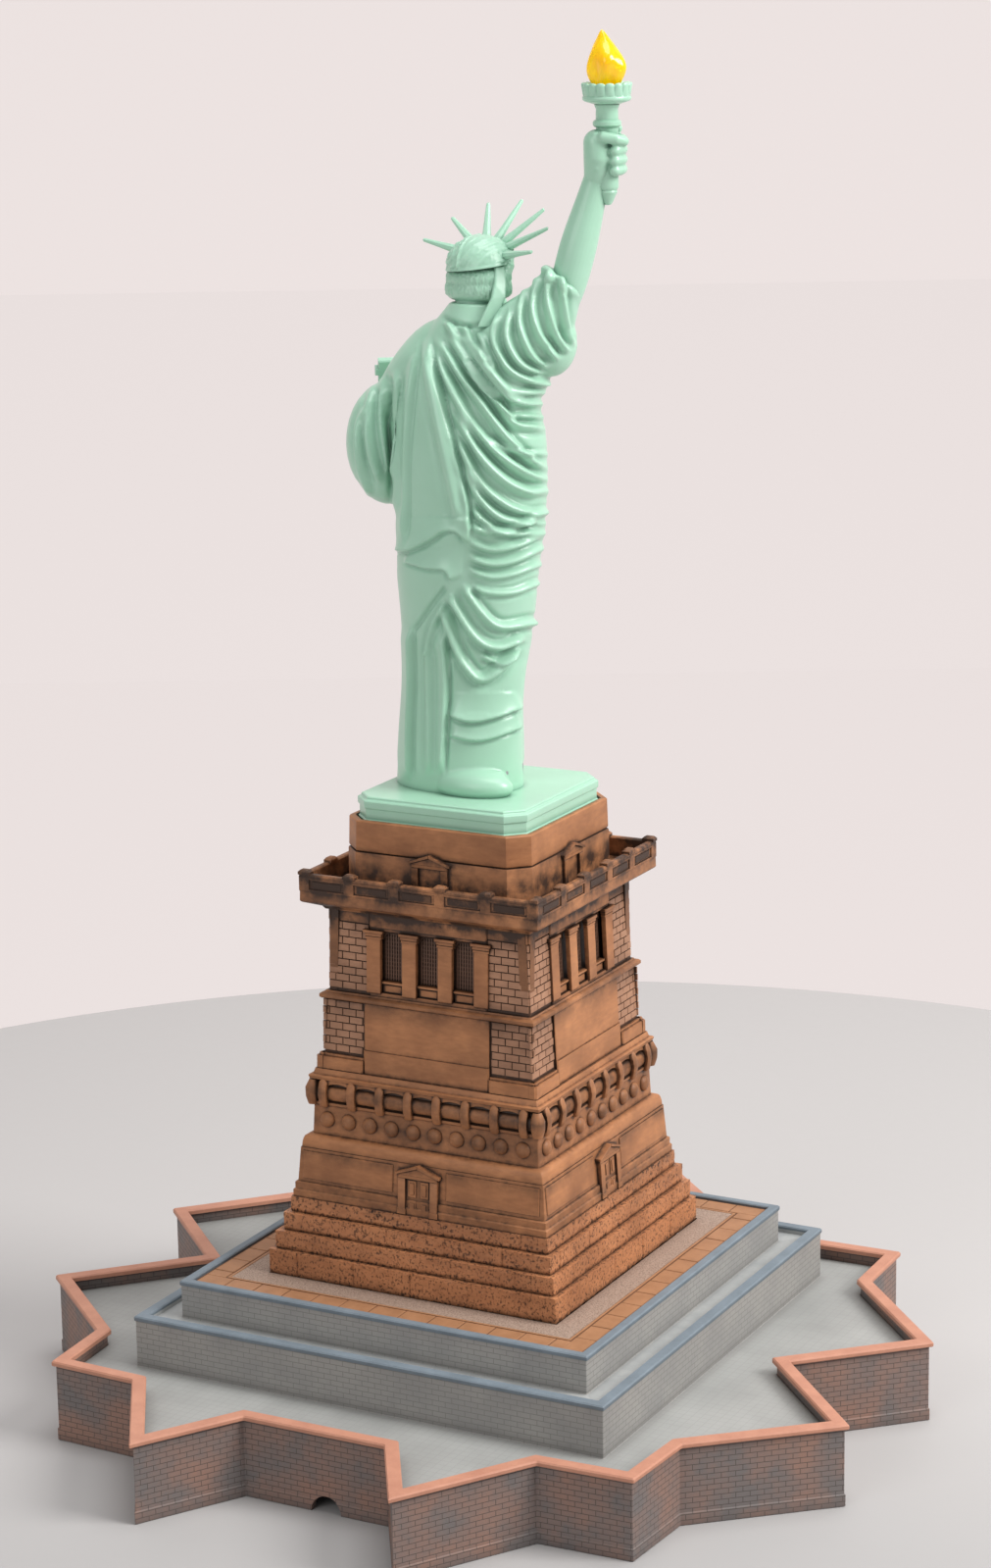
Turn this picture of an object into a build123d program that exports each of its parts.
from build123d import *
import os
from math import cos, hypot, radians, sin, tan

# A lit miniature of a robed, torch-bearing figure on a stone pedestal, terraces and a star wall.
# Millimetres. The origin is the middle of the star wall's underside, +Z is up and the figure
# faces -Y, so its raised right arm is on the -X side and its tablet is on the +X side.

# ---------------------------------------------------------------- star base
HALF_STAR = [  # coping corners on the +X side, from the rear curtain wall round to the front tip
    (29.5, 135.5), (53.5, 175), (85.5, 124.5), (123, 123), (125.5, 88.5), (173, 47),
    (130, 1.5), (172, -39), (126, -89), (125, -123), (56, -121),
]
FRONT_TIP = (0, -175)
COPING_OVERHANG = 1.0
COPING_WIDTH = 5.5
COPING_HEIGHT = 2.0
STAR_TOP = 32.3
STAR_WALL = 3.0
DECK_TOP = 25.8
DECK_THICKNESS = 3.0
DECK_LEDGE = 2.0
NOTCH_WIDTH, NOTCH_HEIGHT, NOTCH_X = 12.6, 6.5, -4.0
PLATE_BOTTOM, PLATE_THICKNESS = 2.5, 2.0
SLIP = 0.15  # clearance of a dropped-in plate against the wall round it

# ---------------------------------------------------------------- terraces
LOWER_TERRACE, LOWER_TERRACE_TOP = 100.0, 46.2
UPPER_TERRACE, UPPER_TERRACE_TOP = 87.1, 58.2
TERRACE_SHELL = 3.0
LOWER_RIM, LOWER_TROUGH_DEPTH = 4.5, 3.0
UPPER_RIM = 3.6
PLAZA_SEAT = 55.8
PLAZA_TOP = 57.3
LEAD_HOLE_R = 15.0

# ---------------------------------------------------------------- pedestal (half-width, level)
STEPS = [(62.0, 66.8), (60.0, 73.9), (57.7, 80.9), (55.5, 87.0)]
STEP_BORE = 50.0
STOREY_TOP = 106.5
COURSE_TOP = 137.5
STRING_TOP = 168.0
SHAFT_TOP = 200.0
BALCONY_FLOOR = 206.5
PARAPET, PARAPET_BOTTOM, PARAPET_TOP = 50.6, 203.7, 216.2
PARAPET_WALL = 3.4
ATTIC_TOP = 234.5
ATTIC, ATTIC_CHAMFER = 38.7, 7.0
ATTIC_FLOOR, ATTIC_DECK = 229.0, 2.5
PEDESTAL_WALL = 3.5
BASE_COURSE, BASE_COURSE_TOP = 54.2, 92.5
STOREY_WALL = (53.2, 52.2)  # half-width at the foot and at the top of the leaning wall
DOOR_SURROUND, DOOR_OPENING = (16.0, 3.2, 16.0), (10.0, 2.6, 11.5)
ROLL, ROLL_TOP, ROLL_ROUNDING = 51.6, 111.5, 2.2
SHIELD_BAND, SHIELD_BAND_TOP = (48.7, 48.2), 124.5
RIB_BAND, RIB_BAND_TOP = (46.8, 47.2), 131.0
CORNICE, CORNICE_TOP, BLOCKING = 49.8, 135.0, 47.6
DISCS_PER_SIDE, DISC_PITCH, DISC_RADIUS, DISC_LEVEL, DISC_THICKNESS = 10, 9.2, 3.9, 118.0, 2.0
RIBS_PER_SIDE, RIB_PITCH, RIB_SIZE = 8, 12.0, (2.6, 5.6, 6.5)
SHAFT_FOOT, SHAFT_FOOT_TOP = 47.2, 143.5
SHAFT_WALL, STRING, STRING_BOTTOM = (45.0, 44.0), 45.9, 165.0
SHAFT_PANEL_WIDTH, SHAFT_PANEL_THICKNESS = 62.0, 2.4
LOGGIA_WALL = (43.4, 42.0)
WINDOWS_PER_SIDE, WINDOW_PITCH, WINDOW_WIDTH, WINDOW_HEIGHT, SILL = 3, 15.0, 9.0, 20.0, 5.0
PILASTER_SIZE, PILASTER_FOOT = (4.6, 3.0, 26.0), 2.0
GRILLE_SIZE, GRILLE_FOOT = (46.0, 1.6, 24.0), 3.0
GRILLE_SLOTS, GRILLE_SLOT_PITCH, GRILLE_SLOT_WIDTH, GRILLE_SLOT_HEIGHT = 3, 2.6, 1.3, 18.0
CORBEL_FOOT = 43.8
PANELS_PER_SIDE, PANEL_HEIGHT, PANEL_DEPTH, PANEL_POST = 5, 7.0, 0.8, 6.5
PARAPET_CAP_HEIGHT, PARAPET_CAP_LENGTH, PARAPET_CAP_RISE = 3.0, 6.0, 1.2
ATTIC_STEP, ATTIC_STEP_TOP = 0.6, 222.5
ATTIC_DOOR = (12.0, 1.4, 15.0)

# ---------------------------------------------------------------- figure
PLINTH, PLINTH_CHAMFER, PLINTH_TOP, PLINTH_SLIP = 36.1, 6.5, 243.0, 0.25
PLINTH_LIP, PLINTH_LIP_HEIGHT = 1.2, 1.0
ROBE_SHELL = 2.5
ROBE = [  # level, centre x, centre y, half-width, half-depth
    (243, 7.0, 0.0, 26.0, 19.0), (262, 6.3, 0.0, 25.5, 18.5), (285, 4.5, -1.0, 24.8, 18.5),
    (305, 3.3, -2.0, 27.0, 21.0), (325, 3.0, -2.0, 28.5, 22.0), (350, 2.0, -1.0, 28.8, 22.5),
    (375, 1.5, -1.0, 29.0, 22.0), (395, 2.0, -1.0, 28.6, 19.5), (408, 2.4, -2.0, 25.0, 15.5),
    (417, 1.4, -3.0, 15.5, 11.0), (423.5, -0.3, -4.0, 8.8, 8.6),
]
NECK = (0.0, -4.0)
HEAD = (-0.5, -9.0, 436.0)
HEAD_RADII = (10.2, 12.0, 15.0)
BUN = (1.4, -2.6, 432.4)
BUN_RADII = (12.8, 9.2, 5.5)
NOSE, NOSE_RADIUS, NOSE_LENGTH = (-3.6, -20.4, 430.5), 1.7, 7.0
CAP_CENTRE, CAP_NORMAL = (-0.5, -8.0, 438.4), (0.108, 0.057, 0.993)
CAP_RADIUS, CAP_HEIGHT, CAP_WALL = 13.1, 11.5, 1.4
CAP_GAP = 0.4
PEG_RADIUS, PEG_LOW, PEG_HEIGHT = 8.0, -1.5, 6.0
CROWN_CENTRE = (-0.5, -8.0, 445.5)
CROWN_TURN, CROWN_TILT = -16.0, 33.0
RAYS, RAY_TIP_RADIUS, RAY_SPAN = 7, 27.3, 186.0
RAY_START, RAY_LIFT = 4.5, 1.3
RAY_RISE = 6.5
RAY_ROOT_SIZE, RAY_TIP_SIZE = (3.4, 2.8), (1.4, 1.2)
TORCH = (-51.0, -12.0)
HANDLE_RADIUS, HANDLE_BOTTOM = 4.1, 466.5
FINIAL_BOTTOM = 461.5
GALLERY_BOTTOM, GALLERY_TOP, GALLERY_RADIUS = 497.5, 505.5, 9.4
GALLERY_NECK, GALLERY_NECK_HEIGHT, GALLERY_RIM, GALLERY_BORE = 4.6, 1.0, 2.4, 3.3
GALLERY_FLOOR = 502.0
FLAME_TOP = 524.0
FLAME_PROFILE = [(4.9, 502.3), (5.2, 505.5), (6.7, 511.5), (5.2, 517.0), (2.2, 521.5)]
FLAME_WALL, FLAME_TOP_WALL = 0.9, 2.5
COLLAR_LEVELS, COLLAR_PROUD = (489.5, 492.0), 1.1
HOLDER_RADIUS, LAMP_RADIUS, LAMP_RIM_RADIUS, LAMP_LENGTH = 3.25, 2.5, 2.9, 5.0
FIST, FIST_RADII = (-50.8, -12.0, 480.5), (7.0, 7.2, 8.0)
WRIST, ELBOW = (-48.0, -11.2, 475.0), (-37.2, -7.0, 428.0)
WRIST_RADIUS, ELBOW_RADIUS = 4.9, 6.4
CUFF, ARMPIT = (-35.5, -6.8, 432.0), (-13.0, -1.0, 398.0)
CUFF_RADIUS, ARMPIT_RADIUS = 8.8, 18.0
LEFT_SLEEVE, LEFT_SLEEVE_RADII = (35.8, -3.5, 371.5), (17.5, 18.5, 23.8)
LEFT_ELBOW, LEFT_HAND = (38.0, -10.0, 358.0), (38.8, -31.5, 354.5)
TABLET_CENTRE = (40.0, -26.0, 380.0)
TABLET_WIDTH, TABLET_LENGTH, TABLET_THICKNESS = 26.0, 45.0, 3.8
TABLET_EAR, TABLET_EAR_HEIGHT, TABLET_EAR_INSET = 2.4, 3.2, 5.0
TABLET_ACROSS, TABLET_UP = (0.848, 0.53, 0), (-0.175, 0.28, 0.943)
LEFT_FOREARM_RADII, LEFT_HAND_RADII = (6.6, 4.6), (6.2, 5.2, 6.0)
NECK_LEVELS, NECK_RADII = (409.0, 430.0), (8.6, 7.6)

# ---------------------------------------------------------------- electrics and screws
STATUE_LEAD_R, BASE_LEAD_R, LEAD_CHANNEL_R = 0.8, 1.1, 1.5
STATUE_LEAD = [  # from the lamp holder down the torch, the arm and the robe to the plug
    (-51, -12, 498), (-51, -12, 484), (-49.2, -11.5, 472), (-45, -10.2, 460), (-39.5, -8, 443),
    (-33, -5.5, 426), (-24, -3, 408), (-13, -1.5, 385), (-4, 1, 352), (3, 2, 318),
    (4, 1, 284), (1.5, 0.5, 258), (0, 0, 240),
]
BASE_LEAD = [  # from the inlet board through the deck and up the pedestal to the socket
    (-4, 66, 9.2), (-4, 46, 9.2), (-3.6, 26, 11), (-2, 6, 22), (0, 2, 48), (2.2, 0, 84),
    (0.5, 1.6, 122), (-1.6, 0.6, 160), (0.6, -0.8, 192), (0, 0, 215.5),
]
ROBE_SCREWS = [(28.5, 6.0), (28.5, -6.0), (-14.5, 6.0), (-14.5, -6.0)]
PLUG_BARREL_R, PLUG_BODY_R = 2.75, 4.0
SOCKET_BORE_R, SOCKET_R, SOCKET_BOTTOM, SOCKET_FLANGE = 2.85, 6.5, 215.5, 4.0
PLUG_BODY_TOP, PLUG_TIP = 240.0, 218.5
ROBE_SCREW_SEAT, ROBE_BOSS_R, ROBE_BOSS_HEIGHT, ROBE_SCREW_BORE = 4.0, 3.4, 14.0, 9.0
JACK_MOUTH_Y = 95.0
JACK_SIZE = (9.0, 14.0, 11.0)
BOARD_TOP = 6.1
STANDOFFS = [(53.5, 150), (-53.5, 150), (148, 42), (-148, 42), (112, -108), (-112, -108), (0, -140),
             (108, 108), (-108, 108)]
STANDOFF_R = 4.0
SCREW_R, SCREW_HEAD_R, SCREW_HEAD = 1.5, 3.0, 1.8
UP = (Align.CENTER, Align.CENTER, Align.MIN)


def slab(face, bottom, top):
    return Pos(0, 0, bottom) * extrude(face, amount=top - bottom)


def block(half, bottom, top):
    return Pos(0, 0, bottom) * Box(2 * half, 2 * half, top - bottom, align=UP)


def post(x, y, bottom, top, radius):
    return Pos(x, y, bottom) * Cylinder(radius, top - bottom, align=UP)


def batter(low_half, high_half, bottom, top):
    """A square block whose sides lean in a little."""
    low = Pos(0, 0, bottom) * Rectangle(2 * low_half, 2 * low_half)
    high = Pos(0, 0, top) * Rectangle(2 * high_half, 2 * high_half)
    return loft([low, high])


def chamfered(half, corner):
    s = half - corner
    points = [(s, half), (-s, half), (-half, s), (-half, -s), (-s, -half), (s, -half),
              (half, -s), (half, s)]
    return make_face(Polyline(*points, close=True))


def star(inset):
    left = [(-x, y) for x, y in reversed(HALF_STAR)]
    outline = make_face(Polyline(*HALF_STAR, FRONT_TIP, *left, close=True))
    if inset == 0:
        return outline
    return offset(outline, amount=-inset, kind=Kind.INTERSECTION)


def four_corners(distance):
    return [(sx * distance, sy * distance) for sx in (-1, 1) for sy in (-1, 1)]


def four_sides(shape):
    """The same shape on each face of the pedestal."""
    return [Rot(0, 0, 90 * k) * shape for k in range(4)]


def along_side(count, pitch):
    return [(k - (count - 1) / 2) * pitch for k in range(count)]


def ellipsoid(centre, radii):
    return Pos(*centre) * scale(Sphere(1), by=radii)


def limb(start, end, start_radius, end_radius):
    """A tapered round limb from one point to another."""
    path = Vector(*end) - Vector(*start)
    low = Plane(origin=start, z_dir=path)
    return low * Cone(start_radius, end_radius, path.length, align=UP)


def screw(x, y, seat, length):
    """A pan-head screw driven upwards, its head under the seat."""
    return post(x, y, seat - SCREW_HEAD, seat, SCREW_HEAD_R) + post(x, y, seat, seat + length, SCREW_R)


def lead_path(points):
    """Straight runs joined by the largest arcs that the runs allow."""
    radii = []
    for before, here, after in zip(points, points[1:], points[2:]):
        first, second = Vector(*here) - Vector(*before), Vector(*after) - Vector(*here)
        half_turn = radians(first.get_angle(second)) / 2
        radii.append(0.45 * min(first.length, second.length) / tan(half_turn))
    return FilletPolyline(*points, radius=radii)


def lead(points, radius):
    path = lead_path(points)
    return sweep(Plane(origin=path @ 0, z_dir=path % 0) * Circle(radius), path=path)


# ---------------------------------------------------------------- star base
def star_wall():
    wall_top = STAR_TOP - COPING_HEIGHT
    inner = COPING_OVERHANG + STAR_WALL
    wall = slab(star(COPING_OVERHANG) - star(inner), 0, wall_top)
    coping = slab(star(0) - star(COPING_WIDTH), wall_top, STAR_TOP)
    ledge_top = DECK_TOP - DECK_THICKNESS
    ledge = slab(star(inner) - star(inner + DECK_LEDGE), ledge_top - DECK_LEDGE, ledge_top)
    rear = HALF_STAR[0][1]
    notch_radius = NOTCH_WIDTH / 2
    arch = Pos(NOTCH_X, rear, NOTCH_HEIGHT - notch_radius) * Rot(90, 0, 0) * Cylinder(notch_radius, 14)
    jambs = Pos(NOTCH_X, rear, 0) * Box(NOTCH_WIDTH, 14, 2 * (NOTCH_HEIGHT - notch_radius))
    return wall + coping + ledge - arch - jambs


def star_deck():
    deck = slab(star(COPING_OVERHANG + STAR_WALL + SLIP), DECK_TOP - DECK_THICKNESS, DECK_TOP)
    deck -= post(0, 0, 0, DECK_TOP, LEAD_HOLE_R)
    for x, y in four_corners(LOWER_TERRACE - 12):
        deck -= post(x, y, 0, DECK_TOP, SCREW_R)
    return deck


def deck_standoffs():
    """Pillars between the base plate and the deck, bored for the base plate's screws."""
    bottom = PLATE_BOTTOM + PLATE_THICKNESS
    pillars = []
    for x, y in STANDOFFS:
        pillar = post(x, y, bottom, DECK_TOP - DECK_THICKNESS, STANDOFF_R)
        pillars.append(pillar - post(x, y, bottom, bottom + 10, SCREW_R))
    return pillars


def base_plate():
    plate = slab(star(COPING_OVERHANG + STAR_WALL + SLIP), PLATE_BOTTOM, PLATE_BOTTOM + PLATE_THICKNESS)
    plate -= Pos(NOTCH_X, 127, PLATE_BOTTOM) * Box(NOTCH_WIDTH + 3.4, 24, 10)
    for x, y in STANDOFFS:
        plate -= post(x, y, 0, 10, SCREW_R)
    return plate


def base_screws():
    return [screw(x, y, PLATE_BOTTOM, 10) for x, y in STANDOFFS]


def inlet_board():
    return Pos(NOTCH_X, 82, PLATE_BOTTOM + PLATE_THICKNESS) * Box(22, 34, 1.6, align=UP)


def power_jack():
    """A barrel jack facing the notch, with its centre pin."""
    width, length, height = JACK_SIZE
    body = Pos(NOTCH_X, JACK_MOUTH_Y - length / 2, BOARD_TOP) * Box(width, length, height, align=UP)
    axis_z = BOARD_TOP + height / 2
    bore = Pos(NOTCH_X, JACK_MOUTH_Y - 4.5, axis_z) * Rot(90, 0, 0) * Cylinder(PLUG_BARREL_R, 9)
    pin = Pos(NOTCH_X, JACK_MOUTH_Y - 5.5, axis_z) * Rot(90, 0, 0) * Cylinder(1.0, 7)
    return body - bore + pin


def lead_terminal():
    block_body = Pos(NOTCH_X, 70, BOARD_TOP) * Box(8, 8, 7, align=UP)
    return block_body - lead(BASE_LEAD, BASE_LEAD_R)


# ---------------------------------------------------------------- terraces
def lower_terrace():
    floor_top = LOWER_TERRACE_TOP - LOWER_TROUGH_DEPTH
    shell = block(LOWER_TERRACE, DECK_TOP, floor_top)
    shell -= block(LOWER_TERRACE - TERRACE_SHELL, DECK_TOP, floor_top - TERRACE_SHELL)
    rim = block(LOWER_TERRACE, floor_top, LOWER_TERRACE_TOP)
    rim -= block(LOWER_TERRACE - LOWER_RIM, floor_top, LOWER_TERRACE_TOP)
    body = shell + rim - post(0, 0, DECK_TOP, floor_top, LEAD_HOLE_R)
    for x, y in four_corners(LOWER_TERRACE - 12):
        body += post(x, y, DECK_TOP, floor_top, 5.0)
        body -= post(x, y, DECK_TOP, DECK_TOP + 12, SCREW_R)
    for x, y in four_corners(UPPER_TERRACE - 15):
        body -= post(x, y, DECK_TOP, floor_top, SCREW_R)
    return body


def upper_terrace():
    bottom = LOWER_TERRACE_TOP - LOWER_TROUGH_DEPTH
    body = block(UPPER_TERRACE, bottom, UPPER_TERRACE_TOP)
    body -= block(UPPER_TERRACE - TERRACE_SHELL, bottom, PLAZA_SEAT - TERRACE_SHELL)
    body -= block(UPPER_TERRACE - UPPER_RIM, PLAZA_SEAT, UPPER_TERRACE_TOP)
    body -= post(0, 0, bottom, PLAZA_SEAT, LEAD_HOLE_R)
    for x, y in four_corners(UPPER_TERRACE - 15):
        body += post(x, y, bottom, PLAZA_SEAT - TERRACE_SHELL, 5.0)
        body -= post(x, y, bottom, bottom + 9, SCREW_R)
    for x, y in four_corners(STEP_BORE + 5.5):
        body -= post(x, y, bottom, PLAZA_SEAT, SCREW_R)
    return body


def terrace_screws():
    lower = [screw(x, y, DECK_TOP - DECK_THICKNESS, 14) for x, y in four_corners(LOWER_TERRACE - 12)]
    trough_under = LOWER_TERRACE_TOP - LOWER_TROUGH_DEPTH - TERRACE_SHELL
    upper = [screw(x, y, trough_under, 11) for x, y in four_corners(UPPER_TERRACE - 15)]
    return lower + upper


def plaza_tiles():
    plate = block(UPPER_TERRACE - UPPER_RIM - SLIP, PLAZA_SEAT, PLAZA_TOP)
    return plate - block(STEPS[0][0] + SLIP, PLAZA_SEAT, PLAZA_TOP)


# ---------------------------------------------------------------- pedestal
def foundation_steps():
    body = block(STEPS[0][0], PLAZA_SEAT, STEPS[0][1])
    for (half, top), (_, below) in zip(STEPS[1:], STEPS):
        body += block(half, below, top)
    body -= block(STEP_BORE, PLAZA_SEAT, STEPS[-1][1] - PEDESTAL_WALL)
    body -= post(0, 0, PLAZA_SEAT, STEPS[-1][1], LEAD_HOLE_R)
    for x, y in four_corners(STEP_BORE + 5.5):
        body -= post(x, y, PLAZA_SEAT, PLAZA_SEAT + 13, SCREW_R)
    return body


def pedestal_screws():
    seat = PLAZA_SEAT - TERRACE_SHELL
    return [screw(x, y, seat, 15) for x, y in four_corners(STEP_BORE + 5.5)]


def on_face(u, distance, bottom, size):
    """A box centred on a pedestal face, repeated on all four sides."""
    return four_sides(Pos(u, -distance, bottom) * Box(*size, align=UP))


def lower_storey():
    bottom = STEPS[-1][1]
    body = block(BASE_COURSE, bottom, BASE_COURSE_TOP)
    body += batter(*STOREY_WALL, BASE_COURSE_TOP, STOREY_TOP)
    for surround in on_face(0, STOREY_WALL[0], bottom, DOOR_SURROUND):
        body += surround
    for opening in on_face(0, BASE_COURSE, bottom + 1, DOOR_OPENING):
        body -= opening
    return body - block(STOREY_WALL[0] - 1.5 * PEDESTAL_WALL, bottom, STOREY_TOP)


def shield_course():
    roll = fillet(block(ROLL, STOREY_TOP, ROLL_TOP).edges().filter_by(Plane.XY), ROLL_ROUNDING)
    body = roll + batter(*SHIELD_BAND, ROLL_TOP, SHIELD_BAND_TOP)
    body += batter(*RIB_BAND, SHIELD_BAND_TOP, RIB_BAND_TOP)
    body += block(CORNICE, RIB_BAND_TOP, CORNICE_TOP) + block(BLOCKING, CORNICE_TOP, COURSE_TOP)
    for x in along_side(DISCS_PER_SIDE, DISC_PITCH):
        disc = Rot(90, 0, 0) * Cylinder(DISC_RADIUS, DISC_THICKNESS)
        for one in four_sides(Pos(x, -SHIELD_BAND[1] - 0.3, DISC_LEVEL) * disc):
            body += one
    for x in along_side(RIBS_PER_SIDE, RIB_PITCH):
        for one in on_face(x, SHIELD_BAND[1], SHIELD_BAND_TOP, RIB_SIZE):
            body += one
    return body - block(BLOCKING - PEDESTAL_WALL, STOREY_TOP, COURSE_TOP)


def shaft_lower():
    body = block(SHAFT_FOOT, COURSE_TOP, SHAFT_FOOT_TOP)
    body += batter(*SHAFT_WALL, SHAFT_FOOT_TOP, STRING_BOTTOM) + block(STRING, STRING_BOTTOM, STRING_TOP)
    panel = (SHAFT_PANEL_WIDTH, SHAFT_PANEL_THICKNESS, STRING_BOTTOM - SHAFT_FOOT_TOP)
    for side in on_face(0, sum(SHAFT_WALL) / 2 + 0.1, SHAFT_FOOT_TOP, panel):
        body += side
    return body - block(SHAFT_WALL[1] - PEDESTAL_WALL, COURSE_TOP, STRING_TOP)


def shaft_upper():
    body = batter(*LOGGIA_WALL, STRING_TOP, SHAFT_TOP)
    body -= block(LOGGIA_WALL[1] - PEDESTAL_WALL, STRING_TOP, SHAFT_TOP - PEDESTAL_WALL)
    body -= post(0, 0, STRING_TOP, SHAFT_TOP, LEAD_HOLE_R)
    opening = (WINDOW_WIDTH, 4 * PEDESTAL_WALL, WINDOW_HEIGHT)
    for x in along_side(WINDOWS_PER_SIDE, WINDOW_PITCH):
        for window in on_face(x, LOGGIA_WALL[1] - 1, STRING_TOP + SILL, opening):
            body -= window
    for x in along_side(WINDOWS_PER_SIDE + 1, WINDOW_PITCH):
        for pilaster in on_face(x, sum(LOGGIA_WALL) / 2 - 0.1, STRING_TOP + PILASTER_FOOT, PILASTER_SIZE):
            body += pilaster
    return body


def window_grilles():
    """One slotted plate behind the three windows of each face."""
    distance = LOGGIA_WALL[1] - PEDESTAL_WALL - SLIP - GRILLE_SIZE[1] / 2
    plate = Pos(0, -distance, STRING_TOP + GRILLE_FOOT) * Box(*GRILLE_SIZE, align=UP)
    slot = Box(GRILLE_SLOT_WIDTH, 3 * GRILLE_SIZE[1], GRILLE_SLOT_HEIGHT, align=UP)
    for x in along_side(WINDOWS_PER_SIDE, WINDOW_PITCH):
        for slot_x in along_side(GRILLE_SLOTS, GRILLE_SLOT_PITCH):
            plate -= Pos(x + slot_x, -distance, STRING_TOP + 2 * GRILLE_FOOT) * slot
    return four_sides(plate)


def balcony():
    corbel = batter(CORBEL_FOOT, PARAPET, SHAFT_TOP, PARAPET_BOTTOM)
    wall = block(PARAPET, PARAPET_BOTTOM, PARAPET_TOP - PARAPET_CAP_RISE)
    body = corbel + wall - block(PARAPET - PARAPET_WALL, BALCONY_FLOOR, PARAPET_TOP)
    pitch = (2 * PARAPET - PARAPET_CAP_LENGTH) / PANELS_PER_SIDE
    recess = (pitch - PANEL_POST, 2 * PANEL_DEPTH, PANEL_HEIGHT)
    for x in along_side(PANELS_PER_SIDE, pitch):
        for side in on_face(x, PARAPET, PARAPET_BOTTOM + 3, recess):
            body -= side
    cap = (PARAPET_CAP_LENGTH, PARAPET_WALL, PARAPET_CAP_HEIGHT)
    for x in along_side(PANELS_PER_SIDE + 1, pitch):
        for side in on_face(x, PARAPET - PARAPET_WALL / 2, PARAPET_TOP - PARAPET_CAP_HEIGHT, cap):
            body += side
    body -= block(CORBEL_FOOT - PEDESTAL_WALL, SHAFT_TOP, BALCONY_FLOOR - 2.5)
    return body - post(0, 0, SHAFT_TOP, BALCONY_FLOOR, LEAD_HOLE_R)


def attic_block():
    body = slab(chamfered(ATTIC + ATTIC_STEP, ATTIC_CHAMFER), BALCONY_FLOOR, ATTIC_STEP_TOP)
    body += slab(chamfered(ATTIC, ATTIC_CHAMFER), ATTIC_STEP_TOP, ATTIC_TOP)
    inside = chamfered(ATTIC - PEDESTAL_WALL, ATTIC_CHAMFER - 1)
    body -= slab(inside, BALCONY_FLOOR, ATTIC_FLOOR - ATTIC_DECK)
    body -= slab(chamfered(PLINTH + PLINTH_SLIP, PLINTH_CHAMFER), ATTIC_FLOOR, ATTIC_TOP)
    body -= post(0, 0, BALCONY_FLOOR, ATTIC_TOP, SOCKET_R + 0.1)
    for side in on_face(0, ATTIC, BALCONY_FLOOR, ATTIC_DOOR):
        body += side
    return body


def statue_socket():
    """The socket that the figure's plug stands in, hung from the attic's floor by a flange."""
    flange_top = ATTIC_FLOOR - ATTIC_DECK
    socket = post(0, 0, SOCKET_BOTTOM, ATTIC_FLOOR, SOCKET_R)
    socket += post(0, 0, flange_top - SOCKET_FLANGE, flange_top, SOCKET_R + 3)
    return socket - post(0, 0, SOCKET_BOTTOM + 2, ATTIC_FLOOR, SOCKET_BORE_R)


# ---------------------------------------------------------------- figure
def plinth():
    lip_bottom = PLINTH_TOP - PLINTH_LIP_HEIGHT
    body = slab(chamfered(PLINTH, PLINTH_CHAMFER), ATTIC_FLOOR, lip_bottom)
    body += slab(chamfered(PLINTH - PLINTH_LIP, PLINTH_CHAMFER - 0.4), lip_bottom, PLINTH_TOP)
    body -= post(0, 0, ATTIC_FLOOR, PLINTH_TOP, PLUG_BODY_R + 0.1)
    for x, y in ROBE_SCREWS:
        body -= post(x, y, ATTIC_FLOOR, PLINTH_TOP - ROBE_SCREW_SEAT, SCREW_HEAD_R + 0.2)
        body -= post(x, y, ATTIC_FLOOR, PLINTH_TOP, SCREW_R)
    return body


def robe_screws():
    return [screw(x, y, PLINTH_TOP - ROBE_SCREW_SEAT, 12) for x, y in ROBE_SCREWS]


def robe_loft(inset):
    """The robe's form, pulled in by the inset on its sides and its top."""
    rings = []
    for level, x, y, half_width, half_depth in ROBE:
        z = level - (inset if level == ROBE[-1][0] else 0)
        rings.append(Pos(x, y, z) * Ellipse(half_width - inset, half_depth - inset))
    return loft(rings)


def robe_shell():
    """The hollow robe with a boss inside for each screw."""
    outside, inside = robe_loft(0), robe_loft(ROBE_SHELL)
    shell = outside - inside
    for x, y in ROBE_SCREWS:
        shell += post(x, y, PLINTH_TOP, PLINTH_TOP + ROBE_BOSS_HEIGHT, ROBE_BOSS_R) & outside
        shell -= post(x, y, PLINTH_TOP, PLINTH_TOP + ROBE_SCREW_BORE, SCREW_R)
    return shell


def half_space(side):
    depth = 80
    return Pos(0, side * depth / 2, (PLINTH_TOP + 420) / 2) * Box(160, depth, 200)


def head():
    """Neck, head, nose and rolled hair, flattened on top where the crown's cap sits."""
    foot, top = (NECK[0], NECK[1] + 1, NECK_LEVELS[0]), (HEAD[0], HEAD[1] + 3, NECK_LEVELS[1])
    neck = limb(foot, top, *NECK_RADII)
    skull = ellipsoid(HEAD, HEAD_RADII)
    bun = ellipsoid(BUN, BUN_RADII)
    bridge = Rot(0, 0, CROWN_TURN) * Rot(14, 0, 0) * Cone(NOSE_RADIUS, 0.5, NOSE_LENGTH, align=UP)
    body = neck + skull + bun + Pos(*NOSE) * bridge
    peg = CAP * (Pos(0, 0, PEG_LOW) * Cylinder(PEG_RADIUS, PEG_HEIGHT, align=UP))
    return body - above_rim(-CAP_GAP) + peg


def crown_normal():
    turn, tilt = radians(CROWN_TURN), radians(CROWN_TILT)
    return (-sin(turn) * sin(tilt), cos(turn) * sin(tilt), cos(tilt))


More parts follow.
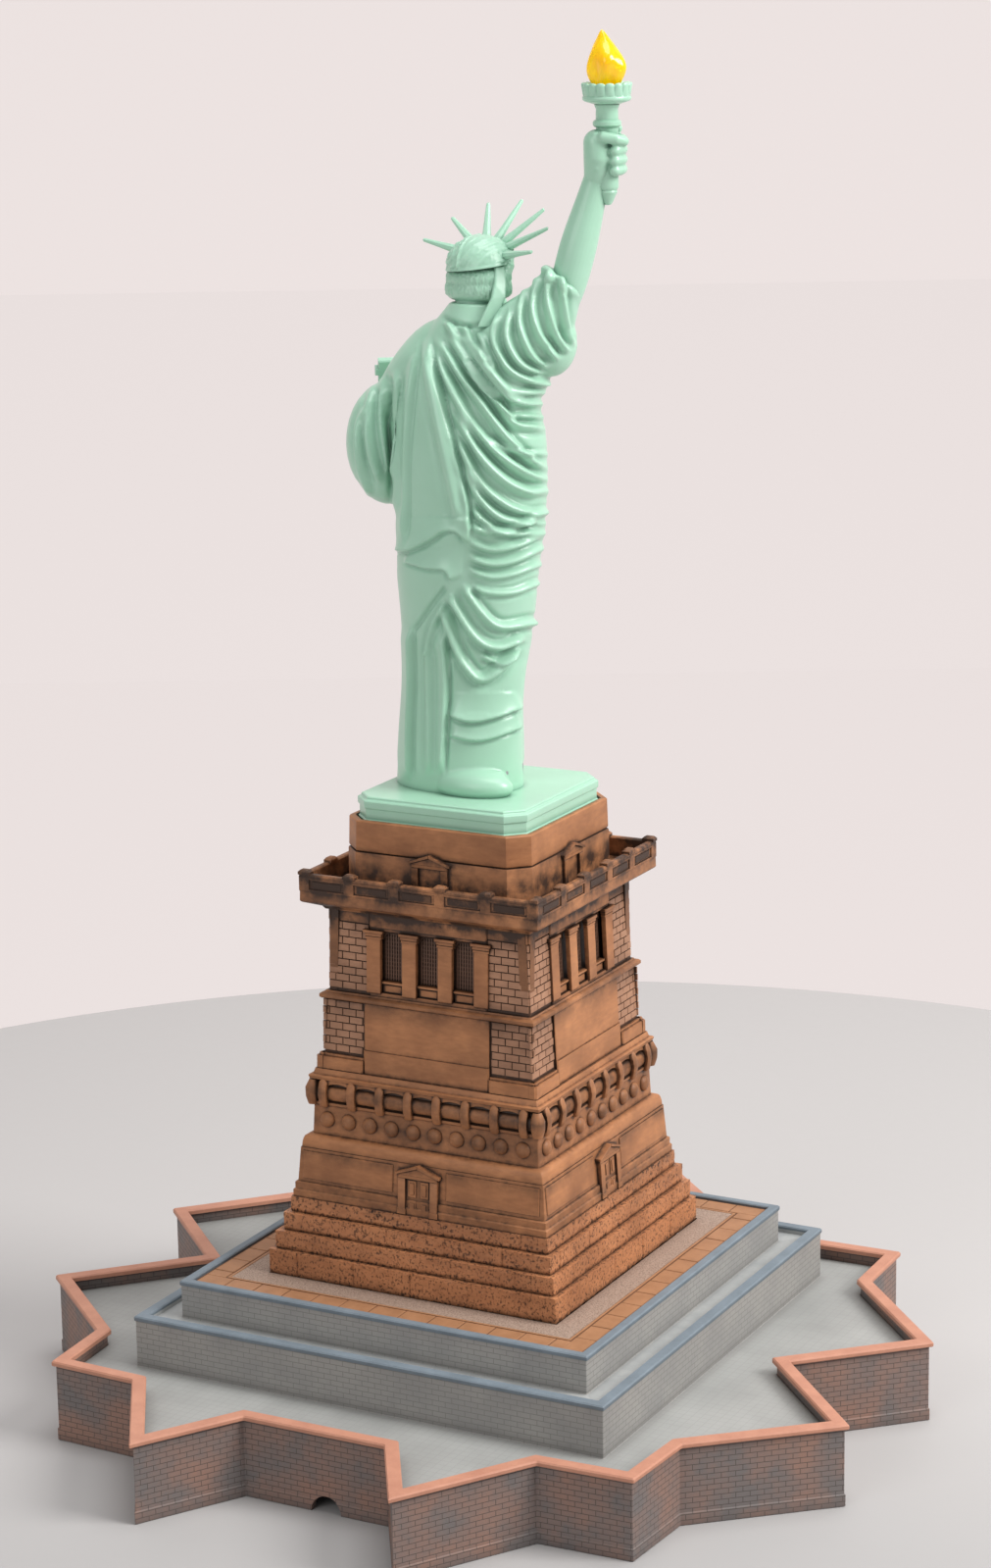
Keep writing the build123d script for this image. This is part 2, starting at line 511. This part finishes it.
ACROSS = (cos(radians(CROWN_TURN)), sin(radians(CROWN_TURN)), 0)
CROWN = Plane(origin=CROWN_CENTRE, x_dir=ACROSS, z_dir=crown_normal())
CAP = Plane(origin=CAP_CENTRE, x_dir=ACROSS, z_dir=CAP_NORMAL)
CAP_FRONT = Plane(origin=CAP_CENTRE, x_dir=ACROSS, z_dir=crown_normal())


def above_rim(level):
    """The room over the cap's rim, which is level behind and slopes up over the forehead."""
    room = Pos(0, 0, level) * Box(90, 90, 60, align=UP)
    return (CAP * room) & (CAP_FRONT * room)


def cap_form(inset):
    return CAP * scale(Sphere(1), by=(CAP_RADIUS - inset, CAP_RADIUS - inset, CAP_HEIGHT - inset))


def crown_cap():
    """A hollow dome, open underneath."""
    return (cap_form(0) - cap_form(CAP_WALL)) & above_rim(0)


def ray_angles():
    step = RAY_SPAN / (RAYS - 1)
    return [(180 - RAY_SPAN) / 2 + step * k for k in range(RAYS)]


def crown_rays():
    """Seven tapered square spikes that stand out of the front of the cap."""
    run = RAY_TIP_RADIUS - RAY_START
    climb = RAY_RISE * run / RAY_TIP_RADIUS
    ray = loft([Rectangle(*RAY_ROOT_SIZE), Pos(0, 0, hypot(run, climb)) * Rectangle(*RAY_TIP_SIZE)])
    rays = []
    for angle in ray_angles():
        away = (cos(radians(angle)), -sin(radians(angle)))
        across = (-away[1], away[0], 0)
        start = (RAY_START * away[0], RAY_START * away[1], RAY_LIFT - climb)
        aim = (run * away[0], run * away[1], climb)
        whole = CROWN * (Plane(origin=start, x_dir=across, z_dir=aim) * ray)
        rays.append(whole - cap_form(0))
    return rays


def right_arm():
    """Sleeve, forearm and fist, drilled for the torch handle and the lead."""
    fist = ellipsoid(FIST, FIST_RADII)
    forearm = limb(ELBOW, WRIST, ELBOW_RADIUS, WRIST_RADIUS)
    wrist = Pos(*WRIST) * Sphere(WRIST_RADIUS)
    sleeve = limb(ARMPIT, CUFF, ARMPIT_RADIUS, CUFF_RADIUS)
    shoulder = Pos(*ARMPIT) * Sphere(ARMPIT_RADIUS)
    body = fist + forearm + wrist + sleeve + shoulder
    handle = post(*TORCH, FINIAL_BOTTOM - 2, GALLERY_BOTTOM, HANDLE_RADIUS)
    return body - handle - lead(STATUE_LEAD, LEAD_CHANNEL_R)


def left_arm():
    sleeve = ellipsoid(LEFT_SLEEVE, LEFT_SLEEVE_RADII)
    forearm = limb(LEFT_ELBOW, LEFT_HAND, *LEFT_FOREARM_RADII)
    hand = ellipsoid(LEFT_HAND, LEFT_HAND_RADII)
    return sleeve + forearm + hand


def tablet():
    board = Box(TABLET_WIDTH, TABLET_THICKNESS, TABLET_LENGTH)
    ear = Box(TABLET_WIDTH + TABLET_EAR, TABLET_THICKNESS, TABLET_EAR_HEIGHT)
    ear_level = TABLET_LENGTH / 2 - TABLET_EAR_INSET
    facing = Plane(origin=TABLET_CENTRE, x_dir=TABLET_ACROSS, z_dir=TABLET_UP)
    return facing * (board + Pos(0, 0, ear_level) * ear + Pos(0, 0, -ear_level) * ear)


def torch_handle():
    handle = post(*TORCH, HANDLE_BOTTOM, GALLERY_BOTTOM, HANDLE_RADIUS - 0.05)
    collar = post(*TORCH, *COLLAR_LEVELS, HANDLE_RADIUS + COLLAR_PROUD)
    finial_height = HANDLE_BOTTOM - FINIAL_BOTTOM
    finial = Pos(*TORCH, FINIAL_BOTTOM) * Cone(0.8, HANDLE_RADIUS - 0.6, finial_height, align=UP)
    body = handle + collar + finial
    return body - lead(STATUE_LEAD, LEAD_CHANNEL_R)


def torch_gallery():
    """A flat-bottomed drum on a short neck, hollow at the top."""
    drum_bottom = GALLERY_BOTTOM + GALLERY_NECK_HEIGHT
    cup = post(*TORCH, drum_bottom, GALLERY_TOP, GALLERY_RADIUS)
    neck = post(*TORCH, GALLERY_BOTTOM, drum_bottom, GALLERY_NECK)
    hollow = post(*TORCH, GALLERY_FLOOR, GALLERY_TOP, GALLERY_RADIUS - GALLERY_RIM)
    return cup + neck - hollow - post(*TORCH, GALLERY_BOTTOM, GALLERY_TOP, GALLERY_BORE)


def lamp_holder():
    return post(*TORCH, GALLERY_BOTTOM + 0.5, GALLERY_FLOOR + 1, HOLDER_RADIUS)


def lamp():
    """A small round-topped lamp."""
    bottom = GALLERY_FLOOR + 1
    top = bottom + LAMP_LENGTH
    rim = post(*TORCH, bottom, bottom + 1, LAMP_RIM_RADIUS)
    return rim + post(*TORCH, bottom + 1, top, LAMP_RADIUS) + Pos(*TORCH, top) * Sphere(LAMP_RADIUS)


def turned(points, closed_top):
    """A round solid whose side is a smooth curve through the points and up to the tip."""
    profile = Spline(*[(radius, 0, level) for radius, level in points] + [(0, 0, closed_top)])
    axis_line = Line((0, 0, closed_top), (0, 0, points[0][1]))
    floor = Line((0, 0, points[0][1]), (points[0][0], 0, points[0][1]))
    return revolve(make_face([profile, axis_line, floor]), axis=Axis.Z)


def flame():
    """The translucent cover, open underneath, that drops over the lamp."""
    outside = turned(FLAME_PROFILE, FLAME_TOP)
    inner = [(radius - FLAME_WALL, level) for radius, level in FLAME_PROFILE[:-1]]
    inside = turned(inner, FLAME_TOP - FLAME_TOP_WALL)
    return Pos(*TORCH, 0) * (outside - inside)


def statue_plug():
    barrel = post(0, 0, PLUG_TIP, ATTIC_FLOOR, PLUG_BARREL_R)
    return post(0, 0, ATTIC_FLOOR, PLUG_BODY_TOP, PLUG_BODY_R) + barrel


def write(name, shape):
    solids = shape if isinstance(shape, list) else [shape]
    whole = solids[0] if len(solids) == 1 else Compound(children=solids)
    export_step(whole, "parts/" + name + ".step")


def main():
    os.makedirs("parts", exist_ok=True)
    raised, held, board = right_arm(), left_arm(), tablet()
    raised -= torch_handle()
    figure_head = head()
    shell = robe_shell() - raised - held - figure_head
    shell -= lead(STATUE_LEAD, LEAD_CHANNEL_R)
    figure_head -= raised
    held -= board
    nodes = {
        "star_wall": star_wall(), "star_deck": star_deck(), "base_plate": base_plate(),
        "deck_standoffs": deck_standoffs(), "base_screws": base_screws(),
        "inlet_board": inlet_board(), "power_jack": power_jack(),
        "lead_terminal": lead_terminal(), "base_lead": lead(BASE_LEAD, BASE_LEAD_R),
        "lower_terrace": lower_terrace(), "upper_terrace": upper_terrace(),
        "terrace_screws": terrace_screws(), "plaza_tiles": plaza_tiles(),
        "foundation_steps": foundation_steps(), "pedestal_screws": pedestal_screws(),
        "lower_storey": lower_storey(), "shield_course": shield_course(),
        "shaft_lower": shaft_lower(), "shaft_upper": shaft_upper(),
        "window_grilles": window_grilles(), "balcony": balcony(),
        "attic_block": attic_block(), "statue_socket": statue_socket(),
        "plinth": plinth(), "robe_screws": robe_screws(),
        "robe_front": shell & half_space(-1), "robe_back": shell & half_space(1),
        "head": figure_head, "crown_cap": crown_cap(), "crown_rays": crown_rays(),
        "right_arm": raised, "left_arm": held, "tablet": board,
        "torch_handle": torch_handle(), "torch_gallery": torch_gallery(),
        "lamp_holder": lamp_holder(), "lamp": lamp(), "flame": flame(),
        "statue_plug": statue_plug(), "statue_lead": lead(STATUE_LEAD, STATUE_LEAD_R),
    }
    for name, shape in nodes.items():
        write(name, shape)


main()
